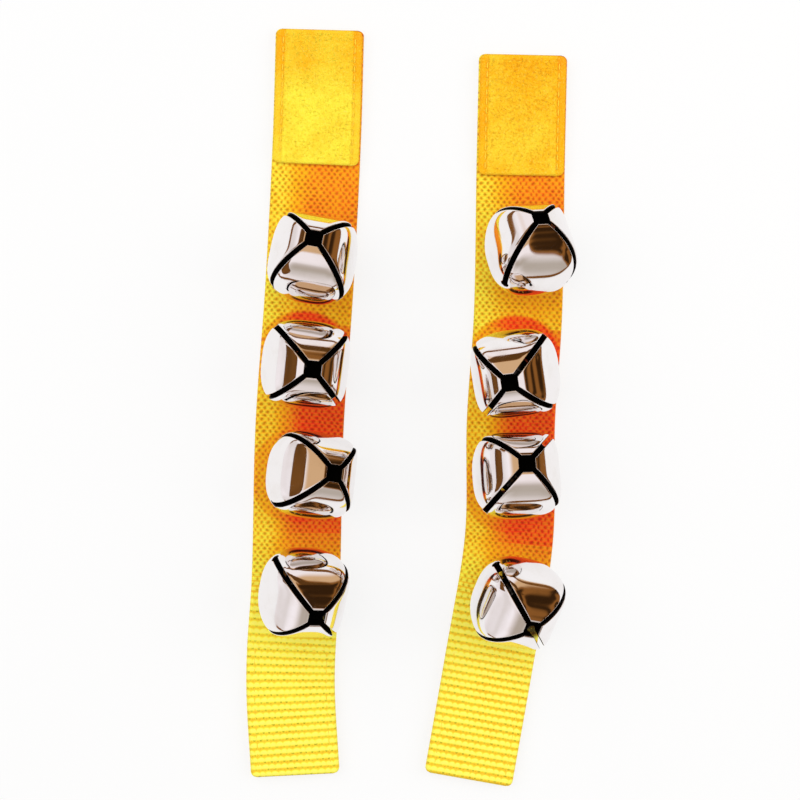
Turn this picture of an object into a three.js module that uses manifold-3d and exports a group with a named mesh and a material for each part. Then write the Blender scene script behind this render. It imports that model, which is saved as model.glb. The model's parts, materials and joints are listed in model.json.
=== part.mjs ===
// A pair of wrist bells. Each strap is a flat webbing band with a fuzzy loop patch sewn on the front of one
// end, a hook patch on the back of the other end, and four jingle bells in between. A tie of thread runs
// through the webbing and through the wire shank of each bell, so that the bell swings on the thread and
// rocks on the clinched ends of its shank. A loose steel pellet rattles in every bell.
// Millimetres. X runs across the straps, Y along them towards the loop patches, Z up from the table.
import * as THREE from "three";
import { mergeVertices } from "three/addons/utils/BufferGeometryUtils.js";
import Module from "manifold-3d";

// Webbing and its patches
const WEB_WIDTH = 25.4;
const WEB_THICKNESS = 2;
const WEB_EDGE = 0.5; // bevel along the woven edges
const WEB_CORNER = 1.8; // radius of the heat-cut corners
const PATCH_THICKNESS = 1.3;
const PATCH_INSET = 0.4; // from the webbing's edges
const SEAM_GAP = 0.2; // between a patch and the webbing that it is sewn to
const HOOK_LENGTH = 38;
const HOOK_RISE = 14; // length over which the tail climbs onto its hook patch
const STATION = 9; // step along a strap

// Thread tie
const TIE_SPAN = 4; // across the strap, over its two legs
const TIE_WIDTH = 1.5; // along the strap
const TIE_THICKNESS = 0.6;
const TIE_CORNER = 0.6;
const TIE_FLOOR = 0.15; // clear of the table
const THREAD_CLEARANCE = 0.3;

// Wire shank
const WIRE = 1.1; // diameter
const EYE_RADIUS = 1.75; // of the ring's centreline
const EYE_HEIGHT = 2.55; // of the ring's centre over the webbing
const LEG_SPREAD = 0.7; // of each leg from the shank's middle
const FOOT_REACH = 3.8; // of each clinched end from the middle
const SHANK_CLEARANCE = 0.35;

// Bell shell
const BELL_HALF_WIDTH = 12.1; // to the middle of a petal
const CUP_DEPTH = 12; // from the base to the widest ring
const PETAL_HEIGHT = 15; // of the petals' ellipse over the widest ring
const WALL = 0.6;
const BASE_GAP = 2; // from the eye's centre to the base
const BASE_HOLE = 2.7; // radius
const MOUTH_HALF = 2.4; // of the square opening between the petal tips
const SLOT_WIDTH = 1.65;
const SLOT_END_WIDTH = 2.4;
const SLOT_END_HEIGHT = 9.4; // of the slots' round ends over the base
const BASE_SQUARENESS = 2; // superellipse powers of the plan
const RIM_SQUARENESS = 2.8;
const MOUTH_SQUARENESS = 8;
const PETAL_COLUMNS = 4;
const CUP_ROWS = 4;
const PETAL_ROWS = 5;

// Pellet
const PELLET_RADIUS = 3;
const PELLET_CLEARANCE = 0.3;

// Straps, end to end along Y
const LEFT_SPAN = 214.1;
const RIGHT_SPAN = 208.1;
const LEFT_LOOP_LENGTH = 39;
const RIGHT_LOOP_LENGTH = 35;

// Where the pair lies: each strap's middle line from its loop end, stretched along Y to its span, and each
// bell's place on it and beside it, swing (about X), rock (about Y) and twist in degrees.
const STRAPS = [
  {
    name: "left",
    span: LEFT_SPAN,
    loopLength: LEFT_LOOP_LENGTH,
    line: [[-23, 106.5], [-23.9, 75], [-26.1, 32], [-28.9, -8], [-29.9, -50], [-31.4, -80], [-30, -107.6]],
    bells: [
      { y: 34.1, aside: 0.9, swing: -20, rock: 4, twist: -9 },
      { y: 11.7, aside: -0.8, swing: 7, rock: 11, twist: -7 },
      { y: -21.9, aside: -1.2, swing: -4.5, rock: 30.5, twist: -7 },
      { y: -47.3, aside: -0.6, swing: 26, rock: 18, twist: -12 },
    ],
  },
  {
    name: "right",
    span: RIGHT_SPAN,
    loopLength: RIGHT_LOOP_LENGTH,
    line: [[35.4, 99.3], [34.7, 68], [33.9, 24], [31.9, -6], [31.3, -40], [25.5, -75], [19.5, -108.8]],
    bells: [
      { y: 32.6, aside: 0.4, swing: -37.5, rock: 9, twist: 12 },
      { y: 10.3, aside: 1, swing: 11.5, rock: -10, twist: 9 },
      { y: -25, aside: -1.1, swing: -16, rock: 8.5, twist: 4 },
      { y: -49.4, aside: -0.6, swing: 28, rock: 15, twist: -20 },
    ],
  },
];

const WEBBING = { color: 0xf9bd13, roughness: 0.85, metalness: 0 };
const LOOP_PILE = { color: 0xf5b10f, roughness: 1, metalness: 0 };
const HOOK_TAPE = { color: 0xeaa60c, roughness: 0.7, metalness: 0 };
const THREAD = { color: 0xf0aa14, roughness: 0.9, metalness: 0 };
const NICKEL = { color: 0xd9d6d0, roughness: 0.12, metalness: 1 };
const STEEL = { color: 0x9c9a96, roughness: 0.35, metalness: 1 };

const wasm = await Module();
wasm.setup();

const rad = THREE.MathUtils.degToRad;
const { lerp, smoothstep } = THREE.MathUtils;

function solid(geometry) {
  const bare = new THREE.BufferGeometry();
  bare.setAttribute("position", geometry.getAttribute("position"));
  bare.setIndex(geometry.index);
  const merged = mergeVertices(bare, 1e-4);
  return new wasm.Manifold(
    new wasm.Mesh({
      numProp: 3,
      vertProperties: merged.getAttribute("position").array,
      triVerts: new Uint32Array(merged.index.array),
    }),
  );
}

function surface(manifold) {
  const { vertProperties, triVerts } = manifold.getMesh();
  const geometry = new THREE.BufferGeometry();
  geometry.setAttribute("position", new THREE.BufferAttribute(vertProperties, 3));
  geometry.setIndex(new THREE.BufferAttribute(triVerts, 1));
  geometry.computeVertexNormals();
  return geometry;
}

function cut(geometry, tools) {
  let body = solid(geometry);
  for (const tool of tools) body = body.subtract(solid(tool));
  return surface(body);
}

// A sheet between an outer and an inner skin with the same cells; every open edge gets a rim.
function sheet(outer, inner, cells) {
  const index = [];
  const edges = new Map();
  const shift = outer.length;
  const quad = (a, b, c, d) => index.push(a, b, c, a, c, d);
  for (const [a, b, c, d] of cells) {
    quad(a, b, c, d);
    quad(a + shift, d + shift, c + shift, b + shift);
    for (const [from, to] of [[a, b], [b, c], [c, d], [d, a]]) edges.set(`${from} ${to}`, [from, to]);
  }
  for (const [from, to] of edges.values()) {
    if (!edges.has(`${to} ${from}`)) quad(to, from, from + shift, to + shift);
  }
  const geometry = new THREE.BufferGeometry().setFromPoints([...outer, ...inner]);
  geometry.setIndex(index);
  geometry.computeVertexNormals();
  return geometry;
}

// The bell's drawn cup and its four petals, its base on z = 0 and its mouth up. The plan goes from round at
// the base to a rounded square at the widest ring, and to the square opening between the petal tips.
function bellShell() {
  const holeAngle = -Math.acos(BASE_HOLE / BELL_HALF_WIDTH);
  const slotAngle = Math.asin(SLOT_END_HEIGHT / CUP_DEPTH - 1);
  const mouthAngle = Math.acos(MOUTH_HALF / BELL_HALF_WIDTH);
  const rows = [];
  for (let i = 0; i < CUP_ROWS; i++) {
    rows.push({ angle: lerp(holeAngle, slotAngle, i / CUP_ROWS), slot: SLOT_WIDTH });
  }
  const slotRow = rows.length;
  const endStep = (SLOT_END_WIDTH * 0.45) / BELL_HALF_WIDTH;
  rows.push({ angle: slotAngle, slot: SLOT_WIDTH * 0.6 });
  rows.push({ angle: slotAngle + endStep, slot: SLOT_END_WIDTH });
  rows.push({ angle: slotAngle + 2.4 * endStep, slot: SLOT_WIDTH });
  const first = slotAngle + 2.4 * endStep;
  for (let i = 1; i <= PETAL_ROWS; i++) {
    rows.push({ angle: lerp(first, mouthAngle, i / PETAL_ROWS), slot: SLOT_WIDTH });
  }

  const outer = [];
  const inner = [];
  for (const { angle, slot } of rows) {
    const rise = angle < 0 ? CUP_DEPTH : PETAL_HEIGHT;
    const radius = BELL_HALF_WIDTH * Math.cos(angle);
    const height = CUP_DEPTH + rise * Math.sin(angle);
    const normal = new THREE.Vector2(rise * Math.cos(angle), BELL_HALF_WIDTH * Math.sin(angle)).normalize();
    const power =
      angle < slotAngle
        ? lerp(BASE_SQUARENESS, RIM_SQUARENESS, smoothstep(angle, holeAngle, slotAngle))
        : lerp(RIM_SQUARENESS, MOUTH_SQUARENESS, smoothstep(angle, slotAngle, mouthAngle));
    const plan = (a) => (Math.abs(Math.cos(a)) ** power + Math.abs(Math.sin(a)) ** power) ** (-1 / power);
    const half = Math.min(slot / 2, radius / 3);
    const edge = Math.asin(half / (radius * plan(Math.PI / 4)));
    for (let petal = 0; petal < 4; petal++) {
      for (let column = 0; column <= PETAL_COLUMNS; column++) {
        const side = lerp(edge - Math.PI / 4, Math.PI / 4 - edge, column / PETAL_COLUMNS);
        const a = (petal * Math.PI) / 2 + side;
        const place = (r, z) => new THREE.Vector3(r * plan(side) * Math.cos(a), r * plan(side) * Math.sin(a), z);
        outer.push(place(radius, height));
        inner.push(place(radius - WALL * normal.x, height - WALL * normal.y));
      }
    }
  }

  const around = 4 * (PETAL_COLUMNS + 1);
  const cells = [];
  for (let row = 0; row + 1 < rows.length; row++) {
    for (let column = 0; column < around; column++) {
      const inSlot = column % (PETAL_COLUMNS + 1) === PETAL_COLUMNS;
      if (inSlot && row >= slotRow) continue;
      const next = (column + 1) % around;
      const low = row * around;
      const high = low + around;
      cells.push([low + column, low + next, high + next, high + column]);
    }
  }
  return sheet(outer, inner, cells);
}

// Height of the foot of a shank over its eye, where it lies on the inside of the bell's base.
const FOOT_HEIGHT = BASE_GAP + WALL + SHANK_CLEARANCE + WIRE / 2;

// A ring of wire whose two legs run up through the bell's base and are clinched outwards on its inside.
function shank() {
  const gap = Math.asin(LEG_SPREAD / EYE_RADIUS);
  const ring = [];
  for (let i = 0; i <= 10; i++) {
    const a = lerp(gap - Math.PI, Math.PI - gap, i / 10);
    ring.push(new THREE.Vector3(0, EYE_RADIUS * Math.sin(a), -EYE_RADIUS * Math.cos(a)));
  }
  const curl = (FOOT_REACH * FOOT_REACH) / (2 * (BELL_HALF_WIDTH - WALL));
  const foot = (side) => [
    new THREE.Vector3(0, side * LEG_SPREAD, FOOT_HEIGHT - WIRE * 0.9),
    new THREE.Vector3(0, side * (LEG_SPREAD + WIRE * 0.5), FOOT_HEIGHT),
    new THREE.Vector3(0, side * FOOT_REACH, FOOT_HEIGHT + curl),
  ];
  const path = new THREE.CatmullRomCurve3([...foot(-1).reverse(), ...ring, ...foot(1)]);
  const section = new THREE.Shape().setFromPoints(
    Array.from({ length: 6 }, (_, i) => {
      const a = (i * Math.PI) / 3;
      return new THREE.Vector2((WIRE / 2) * Math.cos(a), (WIRE / 2) * Math.sin(a));
    }),
  );
  return new THREE.ExtrudeGeometry(section, { steps: 22, extrudePath: path });
}

function roundedRectangle(path, halfWidth, low, high, radius) {
  path.moveTo(halfWidth - radius, low);
  path.absarc(halfWidth - radius, low + radius, radius, -Math.PI / 2, 0);
  path.absarc(halfWidth - radius, high - radius, radius, 0, Math.PI / 2);
  path.absarc(radius - halfWidth, high - radius, radius, Math.PI / 2, Math.PI);
  path.absarc(radius - halfWidth, low + radius, radius, Math.PI, Math.PI * 1.5);
  path.closePath();
  return path;
}

// Places on a tie, over the table: its lower run in the webbing's back and its upper run through the eye.
const EYE_LEVEL = WEB_THICKNESS + EYE_HEIGHT;
const TIE_TOP = EYE_LEVEL + TIE_THICKNESS / 2;

// A flat band of thread: down through the webbing, along its back, up again and through the shank's eye.
function threadTie() {
  const half = TIE_SPAN / 2;
  const band = roundedRectangle(new THREE.Shape(), half, TIE_FLOOR, TIE_TOP, TIE_CORNER);
  const inside = roundedRectangle(
    new THREE.Path(),
    half - TIE_THICKNESS,
    TIE_FLOOR + TIE_THICKNESS,
    TIE_TOP - TIE_THICKNESS,
    TIE_CORNER / 3,
  );
  band.holes.push(inside);
  const geometry = new THREE.ExtrudeGeometry(band, { depth: TIE_WIDTH, bevelEnabled: false, curveSegments: 2 });
  geometry.rotateX(Math.PI / 2);
  geometry.translate(0, TIE_WIDTH / 2, 0);
  return geometry;
}

// The two slits and the pressed-in groove that a tie has in the webbing.
function tieCuts(x, y) {
  const long = TIE_WIDTH + 2 * THREAD_CLEARANCE;
  const groove = TIE_FLOOR + TIE_THICKNESS + THREAD_CLEARANCE;
  const slit = TIE_THICKNESS + 2 * THREAD_CLEARANCE;
  const leg = (TIE_SPAN - TIE_THICKNESS) / 2;
  const through = 2 * WEB_THICKNESS;
  return [
    new THREE.BoxGeometry(TIE_SPAN + 2 * THREAD_CLEARANCE, long, 2 * groove).translate(x, y, 0),
    new THREE.BoxGeometry(slit, long, through).translate(x - leg, y, WEB_THICKNESS),
    new THREE.BoxGeometry(slit, long, through).translate(x + leg, y, WEB_THICKNESS),
  ];
}

// A flat band along a strap's middle line, from and to given in millimetres from its loop end.
function band(line, from, to, width, thickness, corner, floor) {
  const length = line.getLength();
  const stops = [];
  for (let i = 0; i <= 4; i++) stops.push(from + corner * (1 - Math.cos((i * Math.PI) / 8)));
  const steps = Math.ceil((to - from - 2 * corner) / STATION);
  for (let i = 1; i < steps; i++) stops.push(lerp(from + corner, to - corner, i / steps));
  for (let i = 4; i >= 0; i--) stops.push(to - corner * (1 - Math.cos((i * Math.PI) / 8)));
  const bevel = Math.min(WEB_EDGE, thickness / 3);
  const points = [];
  for (const s of stops) {
    const at = line.getPointAt(s / length);
    const along = line.getTangentAt(s / length);
    const inset = corner - Math.min(corner, s - from, to - s);
    const half = width / 2 - corner + Math.sqrt(Math.max(0, corner * corner - inset * inset));
    const low = floor(s);
    const high = low + thickness;
    const place = (x, z) => points.push(new THREE.Vector3(at.x - along.y * x, at.y + along.x * x, z));
    place(half, low + bevel);
    place(half, high - bevel);
    place(half - bevel, high);
    place(bevel - half, high);
    place(-half, high - bevel);
    place(-half, low + bevel);
    place(bevel - half, low);
    place(half - bevel, low);
  }
  const index = [];
  for (let i = 0; i + 1 < stops.length; i++) {
    for (let k = 0; k < 8; k++) {
      const a = 8 * i + k;
      const b = 8 * i + ((k + 1) % 8);
      index.push(a, b, b + 8, a, b + 8, a + 8);
    }
  }
  const end = 8 * (stops.length - 1);
  for (let k = 1; k < 7; k++) {
    index.push(0, k + 1, k);
    index.push(end, end + k, end + k + 1);
  }
  const geometry = new THREE.BufferGeometry().setFromPoints(points);
  geometry.setIndex(index);
  geometry.computeVertexNormals();
  return geometry;
}

function piece(name, geometry, look) {
  const mesh = new THREE.Mesh(geometry, new THREE.MeshStandardMaterial(look));
  mesh.name = name;
  return mesh;
}

// The pellet rests just over the shank's feet, on the bell's axis.
const FOOT_SPREAD = LEG_SPREAD + WIRE * 0.5;
const PELLET_REACH = PELLET_RADIUS + WIRE / 2 + PELLET_CLEARANCE;
const PELLET_HEIGHT = Math.sqrt(PELLET_REACH ** 2 - FOOT_SPREAD ** 2);

// A bell over its place on the strap: the shank swings on the tie and the shell rocks on the shank's feet.
function bell(name, { swing, rock, twist }) {
  const onTie = new THREE.Group();
  onTie.position.z = EYE_LEVEL;
  onTie.rotation.x = rad(swing);
  onTie.add(piece(`${name}_shank`, shank(), STEEL));
  const onFeet = new THREE.Group();
  onFeet.position.z = FOOT_HEIGHT;
  onFeet.rotation.y = rad(rock);
  const shell = piece(`${name}_shell`, bellShell(), NICKEL);
  shell.position.z = BASE_GAP - FOOT_HEIGHT;
  shell.rotation.z = rad(twist);
  const pellet = piece(`${name}_pellet`, new THREE.IcosahedronGeometry(PELLET_RADIUS, 1), STEEL);
  pellet.position.z = PELLET_HEIGHT;
  onFeet.add(shell, pellet);
  onTie.add(onFeet);
  return onTie;
}

// x of a strap's middle line at a given y
function middle(line, y) {
  let low = 0;
  let high = 1;
  for (let i = 0; i < 40; i++) {
    const half = (low + high) / 2;
    if (line.getPointAt(half).y > y) low = half;
    else high = half;
  }
  return line.getPointAt(low).x;
}

function strap({ name, span, loopLength, line: places, bells }) {
  const stretch = span / (places[0][1] - places.at(-1)[1]);
  const line = new THREE.CatmullRomCurve3(places.map(([x, y]) => new THREE.Vector3(x, y * stretch, 0)));
  line.arcLengthDivisions = 400;
  const length = line.getLength();
  const hookFrom = length - HOOK_LENGTH - PATCH_INSET;
  const tail = PATCH_THICKNESS + SEAM_GAP;
  const floor = (s) => tail * smoothstep(s, hookFrom - HOOK_RISE, hookFrom);
  const group = new THREE.Group();
  const seats = bells.map(({ y, aside }) => [middle(line, y * stretch) + aside, y * stretch]);
  const webbing = band(line, 0, length, WEB_WIDTH, WEB_THICKNESS, WEB_CORNER, floor);
  group.add(piece(`${name}_webbing`, cut(webbing, seats.flatMap(([x, y]) => tieCuts(x, y))), WEBBING));
  const width = WEB_WIDTH - 2 * PATCH_INSET;
  const onTop = WEB_THICKNESS + SEAM_GAP;
  const loop = band(line, PATCH_INSET, loopLength, width, PATCH_THICKNESS, WEB_CORNER, () => onTop);
  group.add(piece(`${name}_loop_patch`, loop, LOOP_PILE));
  const hook = band(line, hookFrom, length - PATCH_INSET, width, PATCH_THICKNESS, WEB_CORNER, () => 0);
  group.add(piece(`${name}_hook_patch`, hook, HOOK_TAPE));
  bells.forEach((pose, i) => {
    const seat = new THREE.Group();
    seat.position.set(seats[i][0], seats[i][1], 0);
    seat.add(piece(`${name}_tie_${i + 1}`, threadTie(), THREAD));
    seat.add(bell(`${name}_bell_${i + 1}`, pose));
    group.add(seat);
  });
  return group;
}

// The pair, with its origin on the table under the middle of its outline.
const pair = new THREE.Group();
for (const one of STRAPS) pair.add(strap(one));
pair.updateMatrixWorld(true);
const middleOfPair = new THREE.Box3().setFromObject(pair, true).getCenter(new THREE.Vector3());
for (const one of pair.children) one.position.set(-middleOfPair.x, -middleOfPair.y, 0);

export default pair;
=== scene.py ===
"""Looks of a pair of wrist bells: webbing straps with sewn patches and nickel jingle bells."""

import json
import math

import bpy
import numpy as np
from mathutils import Matrix, Vector, noise


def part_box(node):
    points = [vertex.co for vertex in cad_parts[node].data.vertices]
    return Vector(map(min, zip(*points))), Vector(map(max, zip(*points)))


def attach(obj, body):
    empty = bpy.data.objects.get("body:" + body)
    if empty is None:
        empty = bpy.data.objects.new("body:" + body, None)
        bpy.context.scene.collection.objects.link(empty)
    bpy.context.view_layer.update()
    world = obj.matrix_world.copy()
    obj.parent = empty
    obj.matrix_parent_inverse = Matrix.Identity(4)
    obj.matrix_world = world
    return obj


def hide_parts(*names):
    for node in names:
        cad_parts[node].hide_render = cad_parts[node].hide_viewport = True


bl_info = {
    "name": "Wrist Bells",
    "version": (1, 0, 0),
    "blender": (4, 5, 0),
    "location": "View3D > Sidebar > Wrist Bells",
    "description": "Builds a pair of webbing wrist straps with jingle bells on a packed frame",
    "category": "Mesh",
}

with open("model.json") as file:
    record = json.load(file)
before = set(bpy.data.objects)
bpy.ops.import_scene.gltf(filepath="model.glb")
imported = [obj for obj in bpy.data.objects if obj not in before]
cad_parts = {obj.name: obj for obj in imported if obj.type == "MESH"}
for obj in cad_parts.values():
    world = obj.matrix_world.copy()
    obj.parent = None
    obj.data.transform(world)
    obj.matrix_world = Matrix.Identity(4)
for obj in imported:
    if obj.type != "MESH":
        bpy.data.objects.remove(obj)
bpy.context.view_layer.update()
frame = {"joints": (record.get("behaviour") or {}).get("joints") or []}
JOINTS = {joint["name"]: joint for joint in frame["joints"]}
MM = 0.001
BELLS = (1, 2, 3, 4)

# Length behind the last bell over which the weave changes into that of the tail.
TAIL_CHANGE = 14 * MM

# The weave: how far its grooves arch round each column, in ribs, and how much of that is lost where it is
# beaded, then the sharpness and depth of its grooves and the sharpness of the pits between its beads.
ARCH = 0.2
ARCH_LOSS = 0.26
CROWN_POWER = 2.5
CROWN_DEPTH = 1.05
PIT_POWER = 3

# Round shades on the webbing under the middle bells: their radius and that of their even core.
SHADE_RADIUS = 15.4 * MM
SHADE_CORE = 13 * MM

# How each strap lies, in millimetres: its middle line from the loop end, the place of its first bell beside
# it and along Y, the length of its loop patch, and how far each bell is turned on its shank, in degrees. The
# painted shade on the dye is given for the patch, at the strap's end and at the bells, and for the webbing,
# over the first bell and in the tail.
STRAPS = {
    "left": {
        "patch_painted_shade": (0.28, 0.09),
        "webbing_painted_shade": (0.74, 0.0),
        "line": [
            (-23, 106.5),
            (-23.9, 75),
            (-26.1, 32),
            (-28.9, -8),
            (-29.9, -50),
            (-31.4, -80),
            (-30, -107.6),
        ],
        "first_bell": (0.9, 34.1),
        "loop_length": 39,
        "twists": (-9, -7, -7, -12),
    },
    "right": {
        "patch_painted_shade": (0.32, 0.25),
        "webbing_painted_shade": (0.77, 0.07),
        "line": [
            (35.4, 99.3),
            (34.7, 68),
            (33.9, 24),
            (31.9, -6),
            (31.3, -40),
            (25.5, -75),
            (19.5, -108.8),
        ],
        "first_bell": (0.4, 32.6),
        "loop_length": 35,
        "twists": (12, 9, 4, -20),
    },
}


def every_bell():
    """Each bell's strap and number, and its name."""
    for side in STRAPS:
        for number in BELLS:
            yield side, number, f"{side}_bell_{number}"


def length_property(name, description, millimetres):
    """A size in metres, given in millimetres."""
    return bpy.props.FloatProperty(
        name=name, description=description, default=millimetres * MM, min=0, precision=5, unit="LENGTH"
    )


def colour_property(name, description, red, green, blue):
    """A linear colour."""
    return bpy.props.FloatVectorProperty(
        name=name, description=description, default=(red, green, blue), min=0, max=1, size=3, subtype="COLOR"
    )


def strength_property(name, description, value):
    """A power or strength of light."""
    return bpy.props.FloatProperty(name=name, description=description, default=value, min=0)


class StrapSizes(bpy.types.PropertyGroup):
    """Sizes of the webbing, its patches and its sewing."""

    width: length_property("Width", "Width of the webbing", 25.4)
    thickness: length_property("Thickness", "Thickness of the webbing", 2)
    corner: length_property("Corner", "Radius of the heat-cut corners", 1.8)
    edge: length_property("Edge", "Rounding of the woven edges", 0.9)
    column_pitch: length_property("Columns", "Distance between warp columns", 1.85)
    rib_pitch: length_property("Ribs", "Distance between ribs among the bells", 1.08)
    tail_rib_pitch: length_property("Tail ribs", "Distance between ribs in the tail", 2.1)
    rib_height: length_property("Rib height", "Depth of the grooves between ribs", 0.3)
    patch_thickness: length_property("Patch", "Thickness of the loop and hook patches", 1.3)
    patch_inset: length_property("Patch inset", "Distance of a patch from the webbing's edges", 0.4)
    seam_gap: length_property("Seam gap", "Space between a patch and the webbing", 0.2)
    hook_length: length_property("Hook patch", "Length of the hook patch", 38)
    hook_rise: length_property("Hook rise", "Length over which the tail climbs onto its hook patch", 14)
    stitch_length: length_property("Stitch", "Length of one stitch", 2)
    stitch_step: length_property("Stitch step", "Distance from one stitch to the next", 2.6)
    stitch_width: length_property("Stitch width", "Width of the sewing thread", 0.42)
    stitch_inset: length_property("Stitch inset", "Distance of the seam from a patch's edges", 2)
    tie_span: length_property("Tie span", "Width of a thread tie over its two legs", 4)
    tie_thread: length_property("Tie thread", "Diameter of a tie's thread", 0.58)


class BellSizes(bpy.types.PropertyGroup):
    """Sizes of a bell's shell, shank and pellet."""

    half_width: length_property("Half width", "From the axis to the middle of a petal", 12.1)
    cup_depth: length_property("Cup depth", "From the base to the widest ring", 12)
    petal_height: length_property("Petal height", "Height of the petals' ellipse over the widest ring", 15)
    wall: length_property("Wall", "Thickness of the drawn sheet", 0.6)
    edge_round: length_property("Edge", "Rounding of the sheet's cut edges", 0.22)
    base_hole: length_property("Base hole", "Radius of the hole for the shank", 2.7)
    base_gap: length_property("Base gap", "From the eye of the shank to the shell's base", 2)
    mouth_half: length_property("Mouth", "Half the width of the square opening between the petals", 2.4)
    slot_width: length_property("Slot", "Width of the slots between the petals", 1.65)
    slot_end_width: length_property("Slot end", "Width of the slots' round ends", 2.4)
    slot_end_height: length_property("Slot end height", "Height of the slots' ends over the base", 9.4)
    wire: length_property("Wire", "Diameter of the shank's wire", 1.1)
    eye_radius: length_property("Eye", "Radius of the shank's ring", 1.75)
    leg_spread: length_property("Legs", "Distance of each leg from the shank's middle", 0.7)
    foot_reach: length_property("Feet", "Reach of the clinched ends", 3.8)
    shank_clearance: length_property("Clearance", "Space between the feet and the shell", 0.35)


class Colours(bpy.types.PropertyGroup):
    """Colours of the finishes."""

    yellow: colour_property("Yellow", "Webbing in full light, away from the bells", 1.0, 0.92, 0.06)
    # Golden, orange and ember stand for painted shade on the yellow webbing and patches near, between and
    # under the bells; golden is also the deeper tone of tape and thread.
    golden: colour_property("Golden", "Webbing and patches near the bells", 0.98, 0.5, 0.006)
    orange: colour_property("Orange", "Webbing between the bells", 0.94, 0.27, 0.006)
    ember: colour_property("Ember", "Webbing in the shade of the bells", 0.95, 0.052, 0.006)
    # Painted shade in the grooves between the ribs and in the low places of the pile.
    groove_shade: colour_property("Groove", "Tint of the grooves between ribs", 0.88, 0.5, 0.12)
    # Painted shadow of the bells on the webbing right under them.
    painted_bell_shadow: colour_property("Rubbed", "Tint of the webbing where the bells rub it", 0.06, 0.045, 0.06)
    thread: colour_property("Thread", "Sewing thread and ties", 1.0, 0.74, 0.03)
    nickel: colour_property("Nickel", "Plated bell shells", 0.89, 0.86, 0.86)
    # Painted shade: near-black for the inside and the cut edges of the shells.
    inside: colour_property("Inside", "Dull inside of the shells", 0.006, 0.0045, 0.0035)
    # Far darker than bare steel: painted shade for the pellets deep in the bells, which also darkens the
    # shank wire.
    steel: colour_property("Steel", "Shank wire and pellets", 0.09, 0.082, 0.075)
    floor: colour_property("Floor", "Surface that the straps lie on", 0.86, 0.86, 0.86)
    ceiling: colour_property("Ceiling", "Warm light above that the metal mirrors", 0.68, 0.43, 0.23)
    window: colour_property("Window", "Cool light on the left that the metal mirrors", 1.0, 0.95, 0.97)
    haze: colour_property("Haze", "Grey dusk low in the room that the metal mirrors", 0.5, 0.44, 0.38)
    wood: colour_property("Wood", "Brown furniture that the metal mirrors", 0.26, 0.1, 0.022)
    room: colour_property("Room", "Dark corners that the metal mirrors", 0.035, 0.014, 0.004)


class StageSizes(bpy.types.PropertyGroup):
    """Camera and light."""

    picture_width: length_property("Picture width", "Width of the picture on the webbing", 229.6)
    camera_height: length_property("Camera height", "Height of the camera over the webbing", 525)
    key_power: strength_property("Key", "Power of the key lamp in watts", 4.6)
    fill_power: strength_property("Fill", "Power of the fill lamp in watts", 2.2)
    sky: strength_property("Sky", "Strength of the light from all round", 0.55)


# Meshes


def only(obj):
    """Selects one object and makes it the active one."""
    bpy.ops.object.select_all(action="DESELECT")
    obj.select_set(True)
    bpy.context.view_layer.objects.active = obj


def start(name, primitive, **settings):
    """Adds a primitive by its operator and names it."""
    bpy.ops.object.select_all(action="DESELECT")
    primitive(**settings)
    obj = bpy.context.object
    obj.name = name
    obj.data.name = name
    return obj


def flat_grid(name, columns, rows):
    """A grid whose x and y run from -1 to 1."""
    return start(name, bpy.ops.mesh.primitive_grid_add, x_subdivisions=columns, y_subdivisions=rows, size=2)


def wire_ring(name, radius, wire, segments, sides, **settings):
    """A round ring of wire or yarn."""
    return start(
        name,
        bpy.ops.mesh.primitive_torus_add,
        major_segments=segments,
        minor_segments=sides,
        major_radius=radius,
        minor_radius=wire,
        **settings,
    )


def apply_modifier(obj, kind, **settings):
    """Adds one modifier and applies it."""
    only(obj)
    modifier = obj.modifiers.new(kind.title(), kind)
    for setting, value in settings.items():
        setattr(modifier, setting, value)
    bpy.ops.object.modifier_apply(modifier=modifier.name)


def points_of(obj):
    """The vertices as rows of x, y, z."""
    points = np.empty(len(obj.data.vertices) * 3)
    obj.data.vertices.foreach_get("co", points)
    return points.reshape(-1, 3)


def move_points(obj, points):
    """Puts the vertices where the rows say."""
    obj.data.vertices.foreach_set("co", np.asarray(points, float).ravel())
    obj.data.update()


def copied(obj, name, matrix):
    """A copy with its own mesh, placed by moving its vertices."""
    copy = obj.copy()
    copy.data = obj.data.copy()
    copy.name = name
    copy.data.name = name
    copy.data.transform(matrix)
    bpy.context.scene.collection.objects.link(copy)
    return copy


def scattered(name, pattern, matrices):
    """One mesh with a copy of a small pattern at every matrix. The pattern is removed."""
    shape = points_of(pattern)
    faces = [tuple(face.vertices) for face in pattern.data.polygons]
    points = []
    polygons = []
    for matrix in matrices:
        place = np.array(matrix)
        shift = len(points) * len(shape)
        points.append(shape @ place[:3, :3].T + place[:3, 3])
        polygons += [tuple(corner + shift for corner in face) for face in faces]
    mesh = bpy.data.meshes.new(name)
    mesh.from_pydata(np.concatenate(points).tolist(), [], polygons)
    obj = bpy.data.objects.new(name, mesh)
    bpy.context.scene.collection.objects.link(obj)
    bpy.data.objects.remove(pattern)
    return obj


def smooth(obj, degrees=180):
    """Smooth shading, with edges sharper than the angle kept."""
    only(obj)
    bpy.ops.object.shade_smooth_by_angle(angle=math.radians(degrees))


def paint(obj, *finishes):
    """Gives a mesh its finishes, by name."""
    for finish in finishes:
        obj.data.materials.append(bpy.data.materials[finish])


def dress(obj, body, slot, nodes, *finishes):
    """Gives a piece its finishes and its body, and hides the nodes that it stands for; the slot is not used.
    """
    paint(obj, *finishes)
    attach(obj, body)
    if nodes:
        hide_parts(*nodes)


def smoothstep(low, high, value):
    """0 below low, 1 above high and smooth between."""
    share = np.clip((value - low) / (high - low), 0, 1)
    return share * share * (3 - 2 * share)


# Where things lie


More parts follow.
